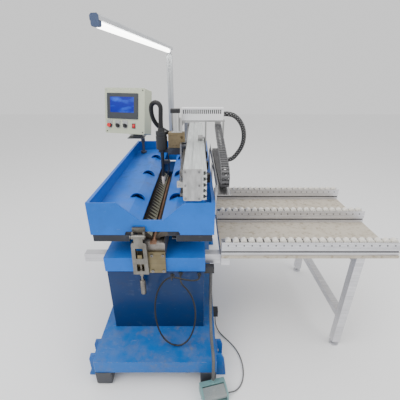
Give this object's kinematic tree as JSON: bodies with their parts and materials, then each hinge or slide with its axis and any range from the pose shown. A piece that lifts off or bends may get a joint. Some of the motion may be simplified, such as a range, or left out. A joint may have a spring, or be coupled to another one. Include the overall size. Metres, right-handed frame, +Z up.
{
  "type": "longitudinal seam welding machine",
  "caption": "Sheet seam welder: blue clamp head on a column, torch carriage on an aluminium beam, control box, lamp, foot switch and roller table.",
  "frame": {"origin": "on the floor under the seam line, midway along the base", "axes": "+Z up; +Y from the operator's end along the seam to the rear; +X to the roller table"},
  "size_m": [1.5775, 1.5731, 1.5386],
  "materials": {
    "blue_paint": "satin",
    "blue_paint_dark": "satin",
    "blue_sheet": "satin",
    "foot_steel": "matt",
    "screw_steel": "satin",
    "black_steel": "satin",
    "finger_steel": "satin",
    "mandrel_steel": "satin",
    "copper": "satin",
    "yellow_zinc": "satin",
    "zinc": "satin",
    "aluminium": "satin",
    "milled_aluminium": "satin",
    "rail_steel": "satin",
    "black_paint": "satin",
    "dark_plate": "satin",
    "bronze": "satin",
    "motor_steel": "satin",
    "torch_plastic": "matt",
    "nozzle_ceramic": "matt",
    "duct_plastic": "matt",
    "chain_plastic": "matt",
    "tray_steel": "satin",
    "lamp_metal": "satin",
    "lamp_glow": "glossy",
    "panel_plastic": "matt",
    "bezel_plastic": "matt",
    "screen_glow": "glossy",
    "control_black": "satin",
    "red_plastic": "glossy",
    "table_profile": "satin",
    "roller_plastic": "matt",
    "deck_board": "matt",
    "pedal_paint": "satin",
    "pedal_grip": "matt",
    "grey_hose": "matt",
    "black_cable": "matt",
    "grey_cable": "matt",
    "black_hose": "matt",
    "braid": "matt"
  },
  "bodies": {
    "frame": {"base_frame": "blue_paint", "feet": "foot_steel", "frame_screws": "screw_steel", "cabinet": "blue_paint_dark", "lower_bed": "blue_paint", "rear_column": "blue_paint", "trough": "blue_paint", "clamp_beams": "black_steel", "left_cover": "blue_sheet", "right_cover": "blue_sheet", "mandrel": "mandrel_steel", "backing_bar": "copper", "nose_plate": "yellow_zinc", "latch_clevis": "zinc", "beam": "aluminium", "beam_ends": "milled_aluminium", "guide_rails": "rail_steel", "drive_motor": "black_paint", "drag_chain": "chain_plastic", "chain_tray": "tray_steel", "lamp_post": "aluminium", "panel_post": "dark_plate", "table_rails": "table_profile", "rollers": "roller_plastic", "table_deck": "deck_board", "table_frame": "table_profile", "pedal_base": "pedal_paint", "cable_fittings": "control_black", "pedal_hose": "grey_hose", "loop_cable": "black_cable", "floor_cable": "grey_cable"},
    "left_finger_bank": {"left_fingers": "finger_steel"},
    "right_finger_bank": {"right_fingers": "finger_steel"},
    "latch": {"latch_link": "zinc"},
    "latch_nut": {"clamp_block": "zinc"},
    "latch_handle": {"latch_screw": "zinc"},
    "screw": {"travel_screw": "rail_steel"},
    "carriage": {"bearing_blocks": "rail_steel", "carriage_plate": "dark_plate", "lift_housing": "bronze", "lift_motor": "motor_steel", "cable_arm": "zinc", "duct": "duct_plastic", "torch_hose": "black_hose", "braided_hose": "braid"},
    "torch": {"torch_bracket": "black_steel", "torch_body": "torch_plastic", "torch_nozzle": "nozzle_ceramic"},
    "lamp": {"lamp_housing": "lamp_metal", "lamp_tube": "lamp_glow"},
    "panel": {"panel_swivel": "dark_plate", "panel_box": "panel_plastic", "touch_screen": "bezel_plastic", "screen_glass": "screen_glow", "control_bodies": "control_black"},
    "button": {"stop_button": "red_plastic"},
    "selector_mode": {"mode_selector": "control_black"},
    "selector_feed": {"feed_selector": "control_black"},
    "rocker": {"power_rocker": "red_plastic"},
    "treadle": {"pedal_treadle": "pedal_grip"}
  },
  "joints": [
    {"name": "carriage_travel", "type": "slide", "parent": "frame", "child": "carriage", "axis": [0, 1, 0], "range_m": [-0.38, 0.4], "deforming": ["drag_chain"]},
    {"name": "screw_spin", "type": "hinge", "parent": "frame", "child": "screw", "pos_m": [0.124, 0, 0.936], "axis": [0, 1, 0], "range_deg": [-6840, 7200]},
    {"name": "torch_lift", "type": "slide", "parent": "carriage", "child": "torch", "axis": [0, 0, 1], "range_m": [-0.066, 0], "deforming": ["torch_hose"]},
    {"name": "left_clamp", "type": "hinge", "parent": "frame", "child": "left_finger_bank", "pos_m": [-0.084, 0, 0.715], "axis": [0, 1, 0], "range_deg": [0, 1.8]},
    {"name": "right_clamp", "type": "hinge", "parent": "frame", "child": "right_finger_bank", "pos_m": [0.084, 0, 0.715], "axis": [0, -1, 0], "range_deg": [0, 1.8]},
    {"name": "latch_swing", "type": "hinge", "parent": "frame", "child": "latch", "pos_m": [-0.057, -0.508, 0.716], "axis": [-1, 0, 0], "range_deg": [0, 95]},
    {"name": "latch_grip_turn", "type": "hinge", "parent": "latch", "child": "latch_handle", "pos_m": [-0.057, -0.508, 0.447], "axis": [0, 0, 1], "range_deg": [-1080, 0]},
    {"name": "latch_nut_lift", "type": "slide", "parent": "latch", "child": "latch_nut", "axis": [0, 0, 1], "range_m": [-0.012, 0]},
    {"name": "lamp_swivel", "type": "hinge", "parent": "frame", "child": "lamp", "pos_m": [0, 0.72, 1.486], "axis": [0, 0, 1], "range_deg": [-60, 45]},
    {"name": "panel_turn", "type": "hinge", "parent": "frame", "child": "panel", "pos_m": [-0.209, 0.591, 0.924], "axis": [0, 0, 1], "range_deg": [-30, 40]},
    {"name": "stop_push", "type": "slide", "parent": "panel", "child": "button", "axis": [0.2532, 0.9448, -0.2079], "range_m": [0, 0.004], "stiffness_N_per_m": 900, "springref_m": -0.002},
    {"name": "mode_turn", "type": "hinge", "parent": "panel", "child": "selector_mode", "pos_m": [-0.36039, 0.50318, 1.0141], "axis": [0.2532, 0.9448, -0.2079], "range_deg": [-45, 45]},
    {"name": "feed_turn", "type": "hinge", "parent": "panel", "child": "selector_feed", "pos_m": [-0.30534, 0.48843, 1.0141], "axis": [0.2532, 0.9448, -0.2079], "range_deg": [-45, 45]},
    {"name": "rocker_tip", "type": "hinge", "parent": "panel", "child": "rocker", "pos_m": [-0.23901, 0.48483, 1.01119], "axis": [0.9659, -0.2588, 0], "range_deg": [-4, 4]},
    {"name": "treadle_press", "type": "hinge", "parent": "frame", "child": "treadle", "pos_m": [0.27877, -0.76517, 0.03], "axis": [-0.9703, -0.2419, 0], "range_deg": [0, 6], "stiffness_Nm_per_rad": 6, "springref_deg": -3.44}
  ],
  "couplings": [
    {"joint": "screw_spin", "follows": "carriage_travel", "rad_per_m": 314.16},
    {"joint": "latch_nut_lift", "follows": "latch_grip_turn", "m_per_rad": 0.00063662}
  ]
}
